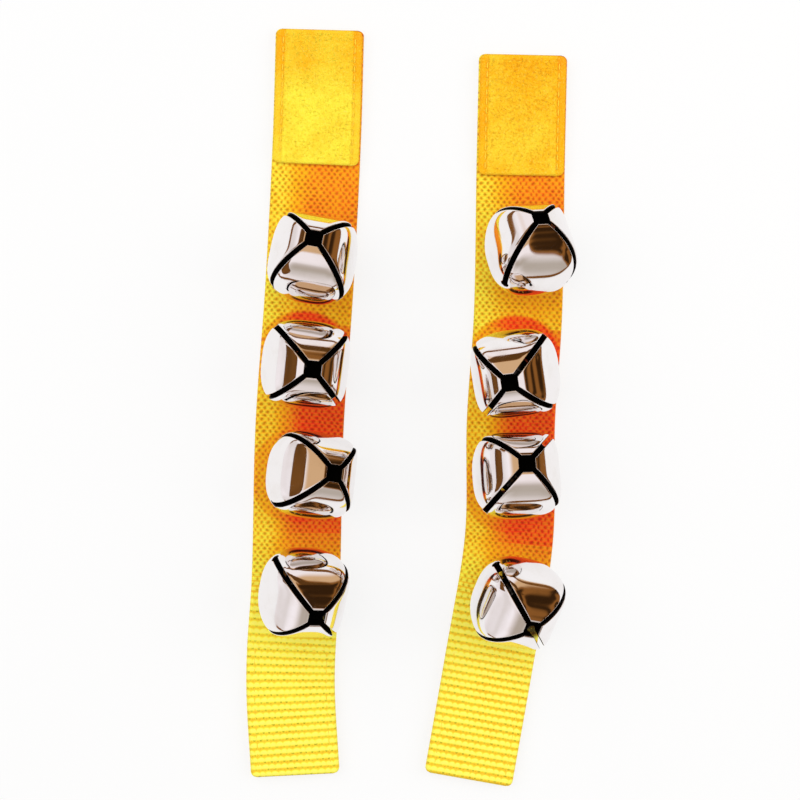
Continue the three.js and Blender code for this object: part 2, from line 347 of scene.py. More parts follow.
class MiddleLine:
    """A strap's middle line, a centripetal spline through its points, measured from its loop end."""

    steps = 400

    def __init__(self, points, shift):
        knots = np.array(points, float) * MM + np.array(shift)
        knots = np.vstack([2 * knots[0] - knots[1], knots, 2 * knots[-1] - knots[-2]])
        line = [knots[1]]
        for a, b, c, d in zip(knots, knots[1:], knots[2:], knots[3:]):
            line.extend(self.stretch(a, b, c, d))
        self.points = np.array(line)
        self.marks = np.concatenate([[0], np.cumsum(np.linalg.norm(np.diff(self.points, axis=0), axis=1))])
        self.length = self.marks[-1]
        self.headings = np.gradient(self.points, axis=0)
        self.headings /= np.linalg.norm(self.headings, axis=1)[:, None]

    def stretch(self, a, b, c, d):
        """Points after b, up to and with c."""
        first, middle, last = (np.linalg.norm(q - p) ** 0.5 for p, q in ((a, b), (b, c), (c, d)))
        leave = middle * ((b - a) / first - (c - a) / (first + middle) + (c - b) / middle)
        arrive = middle * ((c - b) / middle - (d - b) / (middle + last) + (d - c) / last)
        t = np.linspace(0, 1, self.steps + 1)[1:, None]
        bends = (2 * b - 2 * c + leave + arrive) * t**3 + (3 * c - 3 * b - 2 * leave - arrive) * t**2
        return bends + leave * t + b

    def place(self, across, along, height):
        """Rows of x, y, z for distances across and along the strap."""
        point = np.stack([np.interp(along, self.marks, self.points[:, k]) for k in (0, 1)], axis=1)
        heading = np.stack([np.interp(along, self.marks, self.headings[:, k]) for k in (0, 1)], axis=1)
        aside = np.stack([-heading[:, 1], heading[:, 0]], axis=1)
        return np.column_stack([point + aside * across[:, None], height])

    def mark_of(self, spot):
        """Distance along the line of the point nearest to a spot."""
        return self.marks[np.argmin(np.linalg.norm(self.points - np.array(spot)[:2], axis=1))]


def eye_of(side, number):
    """Where a bell's shank turns on its tie."""
    return Vector(JOINTS[f"{side}_bell_{number}_swing"]["pos_m"])


class Lay:
    """How one strap lies: its middle line, its bells' places along it and the height of its back."""

    def __init__(self, side, sizes):
        spec = STRAPS[side]
        eye = eye_of(side, 1)
        rough = MiddleLine(spec["line"], (0, 0))
        aside, ahead = (place * MM for place in spec["first_bell"])
        level = np.argmin(np.abs(rough.points[:, 1] - ahead))
        shift = (eye.x - aside - rough.points[level, 0], eye.y - ahead)
        self.side = side
        self.centre = shift
        self.line = MiddleLine(spec["line"], shift)
        self.length = self.line.length
        self.loop_end = spec["loop_length"] * MM
        self.hook_start = self.length - sizes.hook_length - sizes.patch_inset
        self.seats = [self.line.mark_of(eye_of(side, number)) for number in BELLS]
        self.sizes = sizes

    def tail_share(self, along):
        """How far the weave has changed into that of the tail, from 0 to 1."""
        return smoothstep(self.seats[-1], self.seats[-1] + TAIL_CHANGE, along)

    def back(self, along):
        """Height of the webbing's back, which climbs onto the hook patch."""
        climb = self.sizes.patch_thickness + self.sizes.seam_gap
        return climb * smoothstep(self.hook_start - self.sizes.hook_rise, self.hook_start, along)


def lays(context):
    """How each of the two straps lies."""
    return [Lay(side, context.scene.strap_sizes) for side in STRAPS]


def bell_frame(bell):
    """Matrix of a bell on the feet of its shank: Z along its axis, Y along the axis it rocks on."""
    rock = JOINTS[f"{bell}_rock"]
    up = Vector(JOINTS[f"{bell}_rattle"]["axis"]).normalized()
    along = Vector(rock["axis"]).normalized()
    return axes_matrix(along.cross(up), along, up, rock["pos_m"])


def shank_frame(bell):
    """Matrix of a shank at its eye: X along the axis it swings on, Z towards its feet."""
    swing = JOINTS[f"{bell}_swing"]
    eye = Vector(swing["pos_m"])
    up = (Vector(JOINTS[f"{bell}_rock"]["pos_m"]) - eye).normalized()
    across = Vector(swing["axis"]).normalized()
    return axes_matrix(across, up.cross(across), up, eye)


def axes_matrix(x, y, z, place):
    """A matrix from three unit axes and a place."""
    turned = Matrix((x, y, z)).transposed().to_4x4()
    return Matrix.Translation(place) @ turned


# Shader nodes

FLOAT = "NodeSocketFloat"
VECTOR = "NodeSocketVector"
WHITE = (1.0, 1.0, 1.0, 1.0)


class Signal:
    """What a socket puts out, ready for sums, steps, mixes and relief."""

    def __init__(self, tree, socket):
        self.tree = tree
        self.socket = socket

    def math(self, operation, *others):
        """The result of one math node."""
        return signal(self.tree, "ShaderNodeMath", dict(enumerate((self, *others))), operation=operation)

    def __add__(self, other):
        return self.math("ADD", other)

    def __sub__(self, other):
        return self.math("SUBTRACT", other)

    def __rsub__(self, other):
        return self.math("MULTIPLY_ADD", -1.0, other)

    def __mul__(self, other):
        return self.math("MULTIPLY", other)

    def __pow__(self, other):
        return self.math("POWER", other)

    def __abs__(self):
        return self.math("ABSOLUTE")

    __radd__ = __add__
    __rmul__ = __mul__

    def most(self, other):
        """The larger of two values."""
        return self.math("MAXIMUM", other)

    def ease(self, low, high):
        """A smooth step between two levels, from 0 to 1."""
        inputs = {"Value": self, "From Min": low, "From Max": high}
        return signal(self.tree, "ShaderNodeMapRange", inputs, "Result", interpolation_type="SMOOTHSTEP")

    def mix(self, first, second, blend="MIX"):
        """Two colours mixed by this share."""
        inputs = {0: self, 6: first, 7: second}
        return signal(self.tree, "ShaderNodeMix", inputs, 2, data_type="RGBA", blend_type=blend)

    def relief(self, distance, strength):
        """A normal bent by this height."""
        inputs = {"Height": self, "Distance": distance, "Strength": strength}
        return signal(self.tree, "ShaderNodeBump", inputs)


def feed(tree, node, inputs):
    """Sets a node's inputs, or links them where a signal is given."""
    for key, value in inputs.items():
        if isinstance(value, Signal):
            tree.links.new(value.socket, node.inputs[key])
        else:
            node.inputs[key].default_value = value


def add(tree, kind, inputs=None, **settings):
    """A new node with its settings and inputs."""
    made = tree.nodes.new(kind)
    for setting, value in settings.items():
        setattr(made, setting, value)
    feed(tree, made, inputs or {})
    return made


def signal(tree, kind, inputs=None, output=0, **settings):
    """What a new node puts out."""
    return Signal(tree, add(tree, kind, inputs, **settings).outputs[output])


def parts(vector):
    """The x, y and z of a vector."""
    split = add(vector.tree, "ShaderNodeSeparateXYZ", {0: vector})
    return [Signal(vector.tree, socket) for socket in split.outputs]


def opaque(colour):
    """A colour with full alpha."""
    return (*colour, 1.0)


def noise_value(place, scale, detail=3.0, roughness=0.55):
    """Noise of a given number of features a metre."""
    inputs = {"Vector": place, "Scale": scale, "Detail": detail, "Roughness": roughness}
    return signal(place.tree, "ShaderNodeTexNoise", inputs, "Fac")


def object_place(tree):
    """Places on the object, in metres."""
    return signal(tree, "ShaderNodeTexCoord", None, "Object")


def attribute_value(tree, name):
    """A number kept on the mesh."""
    return signal(tree, "ShaderNodeAttribute", None, "Fac", attribute_name=name)


def new_group(name, inputs, outputs, put_out=FLOAT):
    """A shader group with outputs of one kind, and what goes into it."""
    group = bpy.data.node_groups.new(name, "ShaderNodeTree")
    for socket, kind in inputs.items():
        group.interface.new_socket(name=socket, in_out="INPUT", socket_type=kind)
    for socket in outputs:
        group.interface.new_socket(name=socket, in_out="OUTPUT", socket_type=put_out)
    given = add(group, "NodeGroupInput").outputs
    return group, [Signal(group, given[socket]) for socket in inputs]


def use_group(tree, name, inputs):
    """What a group puts out in a material, by name."""
    node = add(tree, "ShaderNodeGroup", inputs, node_tree=bpy.data.node_groups[name])
    return {socket.name: Signal(tree, socket) for socket in node.outputs}


def weave_group():
    """Ribs across the strap, broken into columns that step by half a column from rib to rib."""
    sockets = {"Columns": FLOAT, "Ribs": FLOAT, "Beading": FLOAT}
    tree, (columns, ribs, beading) = new_group("Plain weave", sockets, ("Height", "Groove", "Dots"))
    stagger = ribs.math("FLOOR").math("FLOORED_MODULO", 2.0) * 0.5
    column = (columns + stagger).math("FRACT")
    off_column = abs(column - 0.5) * 2.0
    arch = (ARCH - ARCH_LOSS * beading) * off_column * off_column
    rib = (ribs - arch).math("FRACT")
    off_rib = abs(rib - 0.5) * 2.0
    crown = 1.0 - off_rib**CROWN_POWER * (CROWN_DEPTH - beading)
    pits = off_column**PIT_POWER * beading * (1.0 - off_rib * off_rib)
    height = crown * (1.0 - pits)
    # Masks for painted shade in the grooves and in the pits between the beads.
    groove_shade = (height - 0.22 * beading).ease(0.82, 0.3)
    aside = (1.0 - off_column) * (1.1 - 0.45 * beading)
    below = (rib - (0.86 - 0.48 * beading)) * (3.5 - 2.5 * beading)
    reach = (aside * aside + below * below).math("SQRT") * (1.45 - 0.6 * beading)
    dots = (1.0 - reach.ease(0.16, 0.82)) * (1.07 - 0.45 * beading)
    add(tree, "NodeGroupOutput", {"Height": height, "Groove": groove_shade, "Dots": dots})


def dye_and_shade_group(colours):
    """From the yellow dye in full light through golden and orange to ember as the painted shade deepens."""
    tree, (dye_and_painted_shade,) = new_group("Dye with painted shade", {"Painted shade": FLOAT}, ("Color",), "NodeSocketColor")
    ramp = add(tree, "ShaderNodeValToRGB", {"Fac": dye_and_painted_shade})
    stops = ramp.color_ramp.elements
    stops[0].color = opaque(colours.yellow)
    stops[1].color = opaque(colours.ember)
    stops.new(0.36).color = opaque(colours.golden)
    stops.new(0.66).color = opaque(colours.orange)
    add(tree, "NodeGroupOutput", {"Color": Signal(tree, ramp.outputs["Color"])})


def fibre_group():
    """Uneven dye and fine fibres of yarn."""
    tree, (place, fineness) = new_group("Fibres", {"Place": VECTOR, "Fineness": FLOAT}, ("Dye", "Fuzz"))
    dye = noise_value(place, 160.0, 3.0)
    add(tree, "NodeGroupOutput", {"Dye": dye, "Fuzz": noise_value(place, fineness, 4.0, 0.65)})


def handling_group():
    """Faint smudges and fine scratches on metal."""
    tree, (place,) = new_group("Handling", {"Place": VECTOR}, ("Smudge", "Scratch"))
    smudge = noise_value(place, 170.0, 4.0).ease(0.45, 0.75)
    stretched = signal(tree, "ShaderNodeMapping", {"Vector": place, "Scale": (1.0, 9.0, 3.0)})
    scratch = noise_value(stretched, 900.0, 2.0).ease(0.62, 0.8)
    add(tree, "NodeGroupOutput", {"Smudge": smudge, "Scratch": scratch})


# Finishes

# Painted highlight on the crowns of the ribs.
RIB_HIGHLIGHT = (1.0, 0.95, 0.24, 1.0)
# Painted shade in the pits between the beads of the weave.
WEAVE_DOT = (0.46, 0.4, 0.08, 1.0)
PALE_TUFT = (1.0, 0.84, 0.2, 1.0)
SMUDGED_NICKEL = (0.74, 0.68, 0.62, 1.0)
# Smudged spots in the painted shade inside the shells.
SMUDGED_INSIDE = (0.01, 0.007, 0.005, 1.0)
STAINED_STEEL = (0.04, 0.03, 0.024, 1.0)


def new_material(name):
    """A material with its tree and its Principled shader."""
    material = bpy.data.materials.new(name)
    material.use_nodes = True
    return material, material.node_tree, material.node_tree.nodes["Principled BSDF"]


def yarn(tree, fineness):
    """Fibres of cloth or thread on an object."""
    return use_group(tree, "Fibres", {"Place": object_place(tree), "Fineness": fineness})


def dye_with_painted_shade(tree, dye_and_painted_shade):
    """Colour of the dye under as much painted shade as given."""
    return use_group(tree, "Dye with painted shade", {"Painted shade": dye_and_painted_shade})["Color"]


def webbing_material(colours):
    """Woven yarn, yellow to ember by its painted shade, with painted highlights on its ribs and strands,
    painted shade in its grooves and pits, and a dark painted shadow right under the bells.
    """
    _, tree, shader = new_material("Woven webbing")
    columns, ribs, _ = parts(signal(tree, "ShaderNodeUVMap", uv_map="Weave"))
    place = object_place(tree)
    beading = attribute_value(tree, "beading")
    wobble = noise_value(place, 420.0, 1.0) - 0.5
    counts = {"Columns": columns + 0.9 * wobble, "Ribs": ribs - 0.65 * wobble * beading, "Beading": beading}
    threads = use_group(tree, "Plain weave", counts)
    fibres = yarn(tree, 2600.0)
    # Painted highlight: raised strands get less painted shade, low ones more.
    strand = threads["Height"].ease(0.55, 0.95) - 0.5
    dye_and_painted_shade = attribute_value(tree, "dye_and_painted_shade") + 0.3 * (fibres["Dye"] - 0.5) - 0.2 * strand
    # Painted highlight on the crowns of the ribs, in the tail.
    rib_highlight = threads["Height"].ease(0.72, 1.0) * (0.525 - 0.7 * beading)
    cloth = rib_highlight.mix(dye_with_painted_shade(tree, dye_and_painted_shade), RIB_HIGHLIGHT)
    # Painted shade in the grooves between the ribs.
    deep = threads["Groove"] * (0.41 + 0.05 * beading)
    cloth = deep.mix(cloth, opaque(colours.groove_shade), "MULTIPLY")
    patchy = 0.5 + 0.5 * noise_value(place, 230.0, 2.0).ease(0.38, 0.6)
    # Painted shade in the pits of the weave, broken by fibres and patches.
    uneven = threads["Dots"] * fibres["Fuzz"].ease(0.2, 0.55) * patchy
    cloth = uneven.mix(cloth, WEAVE_DOT, "MULTIPLY")
    # Painted shadow right under the bells, broken by fibres.
    painted_bell_shadow = attribute_value(tree, "painted_bell_shadow") * fibres["Fuzz"].ease(0.1, 0.5)
    cloth = painted_bell_shadow.mix(cloth, opaque(colours.painted_bell_shadow), "MULTIPLY")
    normal = (threads["Height"] + 0.5 * fibres["Fuzz"]).relief(0.12 * MM, 0.8)
    feed(tree, shader, {"Base Color": cloth, "Roughness": 0.8, "Specular IOR Level": 0.25, "Normal": normal})


def pile_material(colours):
    """Brushed loops with paler tufts, painted shade on the patch and where the pile is low, and a flat woven
    margin.
    """
    _, tree, shader = new_material("Loop pile")
    fibres = yarn(tree, 1900.0)
    margin = 1.0 - attribute_value(tree, "pile")
    # Painted shade on the patch, with uneven dye, a little deeper on the flat margin.
    dye_and_painted_shade = attribute_value(tree, "dye_and_painted_shade") + 0.35 * (fibres["Dye"] - 0.5) + 0.12 * margin
    light = 0.3 * fibres["Fuzz"].ease(0.5, 0.75)
    cloth = light.mix(dye_with_painted_shade(tree, dye_and_painted_shade), PALE_TUFT)
    # Painted shade where the pile's bump is low.
    dark = 0.4 * (1.0 - fibres["Fuzz"].ease(0.3, 0.48))
    cloth = dark.mix(cloth, opaque(colours.groove_shade), "MULTIPLY")
    normal = fibres["Fuzz"].relief(0.5 * MM, 0.7)
    feed(tree, shader, {"Base Color": cloth, "Roughness": 0.95, "Specular IOR Level": 0.2, "Normal": normal})


def hook_material(colours):
    """Stiff tape with moulded hooks."""
    _, tree, shader = new_material("Hook tape")
    fibres = yarn(tree, 2200.0)
    tape = fibres["Dye"].mix(opaque(colours.golden), opaque(colours.yellow))
    normal = fibres["Fuzz"].relief(0.15 * MM, 0.6)
    feed(tree, shader, {"Base Color": tape, "Roughness": 0.55, "Normal": normal})


def thread_material(colours):
    """Twisted thread."""
    _, tree, shader = new_material("Thread")
    spun = (0.6 * yarn(tree, 3200.0)["Fuzz"]).mix(opaque(colours.thread), opaque(colours.golden))
    turned = signal(tree, "ShaderNodeMapping", {"Vector": object_place(tree), "Rotation": (0.6, 0.6, 0.8)})
    twist = signal(tree, "ShaderNodeTexWave", {"Vector": turned, "Scale": 700.0, "Distortion": 0.6}, "Fac")
    normal = twist.relief(0.1 * MM, 0.7)
    feed(tree, shader, {"Base Color": spun, "Roughness": 0.7, "Sheen Weight": 0.2, "Normal": normal})


def nickel_material(colours):
    """Bright plate with faint smudges, scratches and the slight waviness of drawn sheet."""
    _, tree, shader = new_material("Nickel plate")
    place = object_place(tree)
    handling = use_group(tree, "Handling", {"Place": place})
    plate = (0.25 * handling["Smudge"]).mix(opaque(colours.nickel), SMUDGED_NICKEL)
    rough = 0.05 + 0.05 * handling["Smudge"] + 0.1 * handling["Scratch"]
    normal = (noise_value(place, 110.0, 1.0) + 0.02 * handling["Scratch"]).relief(0.05 * MM, 0.3)
    feed(tree, shader, {"Base Color": plate, "Metallic": 1.0, "Roughness": rough, "Normal": normal})


def inside_shade_material(colours):
    """Near-black painted shade on the inside and the cut edges of the shells, with faint smudges."""
    _, tree, shader = new_material("Bell inside shade")
    smudge = use_group(tree, "Handling", {"Place": object_place(tree)})["Smudge"]
    inside_and_edge_shade = smudge.mix(opaque(colours.inside), SMUDGED_INSIDE)
    feed(tree, shader, {"Base Color": inside_and_edge_shade, "Specular IOR Level": 0.05, "Roughness": 0.55 + 0.2 * smudge})


def steel_material(colours):
    """Plain drawn wire and tumbled pellets, far darker than bare steel as painted shade for the pellets deep
    in the bells.
    """
    _, tree, shader = new_material("Plain steel")
    handling = use_group(tree, "Handling", {"Place": object_place(tree)})
    stained = (0.6 * handling["Smudge"]).mix(opaque(colours.steel), STAINED_STEEL)
    rough = 0.28 + 0.25 * handling["Scratch"]
    normal = handling["Scratch"].relief(0.03 * MM, 0.5)
    feed(tree, shader, {"Base Color": stained, "Metallic": 1.0, "Roughness": rough, "Normal": normal})


class WRISTBELLS_OT_finishes(bpy.types.Operator):
    """Mix the finishes of cloth, thread and metal"""

    bl_idname = "wrist_bells.finishes"
    bl_label = "Finishes"

    makers = (
        webbing_material,
        pile_material,
        hook_material,
        thread_material,
        nickel_material,
        inside_shade_material,
        steel_material,
    )

    def execute(self, context):
        colours = context.scene.colours
        weave_group()
        dye_and_shade_group(colours)
        fibre_group()
        handling_group()
        for make in self.makers:
            make(colours)
        return {"FINISHED"}


# Straps


def flat_band(name, lay, begin, end, width, thickness, columns, rows):
    """A closed band with round corners and edges, flat: x across, y along, z from its middle."""
    sizes = lay.sizes
    obj = flat_grid(name, columns, rows)
    share = points_of(obj)
    along = begin + (share[:, 1] + 1) / 2 * (end - begin)
    near_end = np.minimum(along - begin, end - along)
    inset = sizes.corner - np.minimum(sizes.corner, near_end)
    half = width / 2 - sizes.corner + np.sqrt(np.maximum(0, sizes.corner**2 - inset**2))
    across = share[:, 0] * half
    rim = np.clip(np.minimum(half - np.abs(across), near_end) / sizes.edge, 0, 1)
    move_points(obj, np.column_stack([across, along, thickness / 2 * np.sqrt(1 - (1 - rim) ** 2)]))
    apply_modifier(obj, "MIRROR", use_axis=(False, False, True), merge_threshold=1e-7)
    return obj


def lay_down(obj, lay, middle):
    """Bends a flat band along its strap, its middle at a height worked out from the distance along."""
    flat = points_of(obj)
    move_points(obj, lay.line.place(flat[:, 0], flat[:, 1], flat[:, 2] + middle(flat[:, 1])))


def keep_numbers(obj, name, values):
    """Keeps a number for each vertex."""
    obj.data.attributes.new(name, "FLOAT", "POINT").data.foreach_set("value", np.asarray(values, np.float32))


def keep_weave(obj, columns, ribs):
    """Keeps the count of columns and ribs at each corner as a UV map."""
    corners = np.empty(len(obj.data.loops), np.int64)
    obj.data.loops.foreach_get("vertex_index", corners)
    layer = obj.data.uv_layers[0]
    layer.name = "Weave"
    counts = np.column_stack([columns[corners], ribs[corners]])
    layer.data.foreach_set("uv", counts.astype(np.float32).ravel())


def rib_count(lay, along):
    """How many ribs lie before each distance along: close ones among the bells, wider ones in the tail."""
    sizes = lay.sizes
    marks = np.linspace(0, lay.length, 2000)
    pitch = sizes.rib_pitch + (sizes.tail_rib_pitch - sizes.rib_pitch) * lay.tail_share(marks)
    return np.interp(along, marks, np.cumsum(1 / pitch) * marks[1])


def woven_height(columns, ribs, beading):
    """Height of the weave, from 0 in the grooves to 1 on the ribs."""
    off_column = np.abs((columns + np.floor(ribs) % 2 / 2) % 1 - 0.5) * 2
    arch = (ARCH - ARCH_LOSS * beading) * off_column**2
    off_rib = np.abs((ribs - arch) % 1 - 0.5) * 2
    pits = beading * off_column**PIT_POWER * (1 - off_rib**2)
    return (1 - (CROWN_DEPTH - beading) * off_rib**CROWN_POWER) * (1 - pits)


def shade_warmth(lay, across, along):
    """The painted shade on the cloth: yellow in the tail and at the lit edge, ember in the painted shadow
    round the middle bells.
    """
    first, second, third, last = lay.seats
    over_bells, tail = STRAPS[lay.side]["webbing_painted_shade"]
    # Painted shade along the strap, deepest among the middle bells.
    stops = (
        (lay.loop_end, over_bells - 0.12),
        (first - 13 * MM, over_bells),
        (first + 8 * MM, 0.44),
        (first + 12 * MM, 0.36),
        (second - 15 * MM, 0.42),
        (second - 8 * MM, 0.8),
        (second + 12 * MM, 0.96),
        (third + 8 * MM, 0.96),
        (third + 16 * MM, 0.88),
        (last - 13 * MM, 0.82),
        (last + 8 * MM, 0.3),
        (last + 15 * MM, tail),
    )
    dye_and_painted_shade = np.interp(along, *zip(*stops))
    # Painted light: the left edge, towards the key lamp, is kept yellower.
    edge = -1.1 + 0.4 * dye_and_painted_shade
    away_from_light = smoothstep(edge, edge + 0.85, across / (lay.sizes.width / 2))
    dye_and_painted_shade = dye_and_painted_shade * (0.3 + 0.7 * away_from_light)
    # Painted shadow of the middle bells on the webbing, fainter towards the lit edge.
    for seat in (second, third):
        shade = smoothstep(SHADE_RADIUS, SHADE_CORE, np.hypot(across, along - seat))
        dye_and_painted_shade = np.maximum(dye_and_painted_shade, shade * (0.5 + 0.5 * away_from_light))
    return dye_and_painted_shade


class WRISTBELLS_OT_webbing(bpy.types.Operator):
    """Weave both straps"""

    bl_idname = "wrist_bells.webbing"
    bl_label = "Webbing"

    columns = 60
    rows = 740
    # Painted shade of the back, and the heights over which the front's painted shade takes over from it.
    back_painted_shade = 0.16
    back_shade_below = -0.6 * MM
    front_shade_above = 0.3 * MM
    beading = 0.75
    tail_beading = 0.15
    # Rings of painted shadow under each bell: height up its axis and radius, and the share of it that is
    # even.
    bell_shadow_rings = ((11 * MM, 11.6 * MM), (21 * MM, 9.6 * MM))
    bell_shadow_core = 0.75
    tie_room = 0.1 * MM
    tie_fade = 0.9 * MM
    tie_groove = (1.7 * MM, 1.1 * MM)

    def execute(self, context):
        for lay in lays(context):
            self.weave(lay, lay.sizes)
        return {"FINISHED"}

    def weave(self, lay, sizes):
        node = f"{lay.side}_webbing"
        size = (sizes.width, sizes.thickness)
        obj = flat_band(f"{node}_woven", lay, 0, lay.length, *size, self.columns, self.rows)
        flat = points_of(obj)
        count = flat[:, 0] / sizes.column_pitch
        ribs = rib_count(lay, flat[:, 1])
        keep_weave(obj, count, ribs)
        beading = self.beading - (self.beading - self.tail_beading) * lay.tail_share(flat[:, 1])
        front = smoothstep(self.back_shade_below, self.front_shade_above, flat[:, 2])
        # Painted shade on the front, with the back's even value behind.
        dye_and_painted_shade = shade_warmth(lay, flat[:, 0], flat[:, 1])
        keep_numbers(obj, "dye_and_painted_shade", self.back_painted_shade + (dye_and_painted_shade - self.back_painted_shade) * front)
        keep_numbers(obj, "beading", beading)
        depth = sizes.rib_height * (1 - woven_height(count, ribs, beading))
        flat[:, 2] -= np.sign(flat[:, 2]) * np.minimum(depth, np.abs(flat[:, 2]) * 0.5)
        move_points(obj, flat)
        lay_down(obj, lay, lambda along: lay.back(along) + sizes.thickness / 2)
        self.sink_ties(obj, lay.side, sizes, front < 0.5)
        self.paint_bell_shadows(obj, lay.side, front)
        smooth(obj)
        dress(obj, f"{lay.side}_strap", "webbing", [node], "Woven webbing")

    def paint_bell_shadows(self, obj, side, front):
        """Marks the painted shadow right under each bell on the front, which the material makes dark."""
        points = points_of(obj)
        painted_bell_shadow = np.zeros(len(points))
        for number in BELLS:
            for level, radius in self.bell_shadow_rings:
                middle = bell_frame(f"{side}_bell_{number}") @ Vector((0, 0, level))
                away = np.hypot(points[:, 0] - middle.x, points[:, 1] - middle.y)
                painted_bell_shadow = np.maximum(painted_bell_shadow, smoothstep(radius, radius * self.bell_shadow_core, away))
        keep_numbers(obj, "painted_bell_shadow", painted_bell_shadow * front)

    def sink_ties(self, obj, side, sizes, behind):
        """Presses the thread of each tie into the back."""
        points = points_of(obj)
        half = sizes.tie_span / 2
        depth = WRISTBELLS_OT_ties.floor + sizes.tie_thread + self.tie_room
        for number in BELLS:
            eye = eye_of(side, number)
            across = smoothstep(half + self.tie_fade, half, np.abs(points[:, 0] - eye.x))
            along = smoothstep(*self.tie_groove, np.abs(points[:, 1] - eye.y))
            points[:, 2] += behind * across * along * depth
        move_points(obj, points)


def patch_top(sizes):
    """Height of a loop patch's face, and of the front of a tail that lies on its hook patch."""
    return sizes.thickness + sizes.seam_gap + sizes.patch_thickness


class WRISTBELLS_OT_loop_patches(bpy.types.Operator):
    """Make the fuzzy loop patches on the front"""

    bl_idname = "wrist_bells.loop_patches"
    bl_label = "Loop patches"

    columns = 90
    margin = 2.2 * MM
    pile_edge = 0.6 * MM
    fuzz_scale = 1500
    settled = 0.12 * MM
    nap = 0.13 * MM
    face_above = 0.1 * MM
    seam_depth = 0.22 * MM
    seam_groove = (0.6 * MM, 0.1 * MM)
    curls = 1500
    curl_radius = 0.26 * MM
    curl_yarn = 0.05 * MM
    curl_stretch = 1.3
    curl_lean = 1.1
    first_curl = 1.6 * MM
    curl_ends = 3 * MM
    crowding = 1.35
    rooted = 0.2 * MM
    seeds = {"left": 7, "right": 8}

    def execute(self, context):
        for lay in lays(context):
            self.patch(lay, lay.sizes)
            self.curl(lay, lay.sizes)
        return {"FINISHED"}

    def patch(self, lay, sizes):
        node = f"{lay.side}_loop_patch"
        width = sizes.width - 2 * sizes.patch_inset
        rows = round(self.columns * lay.loop_end / width)
        size = (width, sizes.patch_thickness)
        obj = flat_band(f"{node}_pile", lay, sizes.patch_inset, lay.loop_end, *size, self.columns, rows)
        flat = points_of(obj)
        share = flat[:, 1] / lay.loop_end
        pile = smoothstep(0, self.pile_edge, width / 2 - self.margin - np.abs(flat[:, 0]))
        keep_weave(obj, flat[:, 0] / width + 0.5, share)
        keep_numbers(obj, "pile", pile)
        # Painted shade on the patch, from the strap's end towards the bells.
        begin, end = STRAPS[lay.side]["patch_painted_shade"]
        keep_numbers(obj, "dye_and_painted_shade", begin + (end - begin) * smoothstep(0.2, 0.55, share))
        fuzz = np.array([noise.fractal(Vector(p) * self.fuzz_scale, 1.0, 2.0, 3) for p in flat])
        drop = self.settled + self.nap * (1 - pile) - self.nap * pile * np.clip(fuzz, -1, 1)
        seam = np.abs(np.abs(flat[:, 0]) - (width / 2 - sizes.stitch_inset))
        drop += self.seam_depth * smoothstep(*self.seam_groove, seam)
        flat[:, 2] -= np.where(flat[:, 2] > self.face_above, drop, 0)
        move_points(obj, flat)
        lay_down(obj, lay, lambda along: np.full(len(along), patch_top(sizes) - sizes.patch_thickness / 2))
        smooth(obj)
        dress(obj, f"{lay.side}_strap", "loop_pile", [node], "Loop pile")
        length = lay.loop_end - sizes.patch_inset

    def curl(self, lay, sizes):
        """Loose loops of yarn that stand out of the brushed pile, most of them near the strap's end."""
        random = np.random.default_rng(self.seeds[lay.side])
        half = sizes.width / 2 - self.margin - self.pile_edge
        loop = wire_ring("curl", self.curl_radius, self.curl_yarn, segments=8, sides=4)
        across = random.uniform(-half, half, self.curls)
        share = random.uniform(0, 1, self.curls) ** self.crowding
        along = self.first_curl + (lay.loop_end - self.curl_ends) * share
        spots = lay.line.place(across, along, np.full(self.curls, patch_top(sizes) - self.rooted))
        turns = random.uniform(0, math.tau, self.curls)
        leans = random.uniform(-self.curl_lean, self.curl_lean, self.curls)
        grow = random.uniform(0.6, 1.25, self.curls)
        places = [
            Matrix.Translation(spot)
            @ Matrix.Rotation(turn, 4, "Z")
            @ Matrix.Rotation(math.pi / 2 + lean, 4, "X")
            @ Matrix.Diagonal((size * self.curl_stretch, size, size, 1))
            for spot, turn, lean, size in zip(spots, turns, leans, grow)
        ]
        obj = scattered(f"{lay.side}_loop_patch_curls", loop, places)
        smooth(obj)
        count = len(obj.data.vertices)
        keep_numbers(obj, "pile", np.ones(count))
        keep_numbers(obj, "dye_and_painted_shade", np.full(count, STRAPS[lay.side]["patch_painted_shade"][1]))
        dress(obj, f"{lay.side}_strap", "loop_pile", [], "Loop pile")


